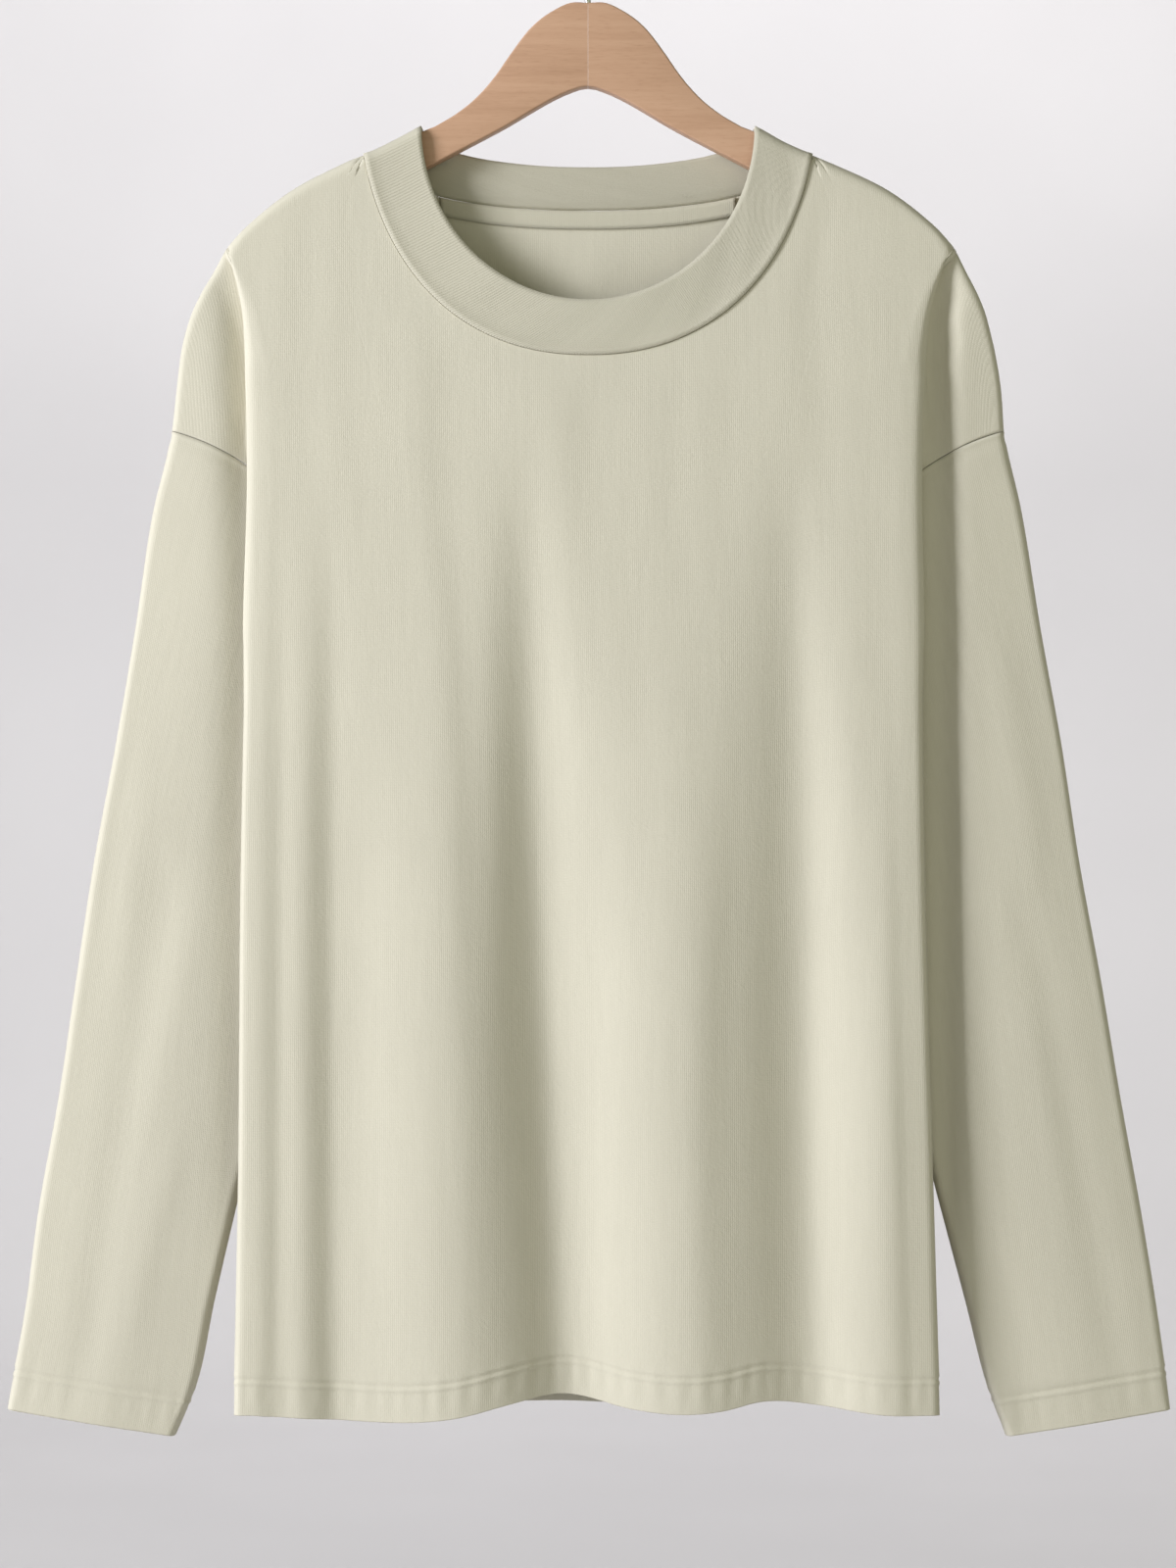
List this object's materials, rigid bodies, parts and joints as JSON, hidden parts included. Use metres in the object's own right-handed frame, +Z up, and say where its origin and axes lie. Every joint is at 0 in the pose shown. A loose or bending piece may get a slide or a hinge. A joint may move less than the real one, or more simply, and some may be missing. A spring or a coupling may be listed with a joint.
{
  "type": "long-sleeve t-shirt on a wooden hanger",
  "caption": "Drop-shoulder long-sleeve jersey t-shirt with a wide ribbed crew neck, hanging flat on a wooden hanger with a metal hook.",
  "frame": {"origin": "inside top of the hanger's hook, where a rail bears", "axes": "+Z up, the front of the shirt faces -Y, +X to the right seen from the front"},
  "size_m": [0.6554, 0.0665, 0.8707],
  "materials": {
    "jersey": "matte cotton jersey",
    "rib": "matte cotton rib",
    "tape": "matte cotton tape",
    "wood": "satin varnish",
    "steel": "bright plated wire"
  },
  "bodies": {
    "root": {"front": "jersey", "back": "jersey", "sleeve_left": "jersey", "sleeve_right": "jersey", "collar": "rib", "neck_tape": "tape", "hanger_left": "wood", "hanger_right": "wood", "hook": "steel"}
  },
  "joints": []
}
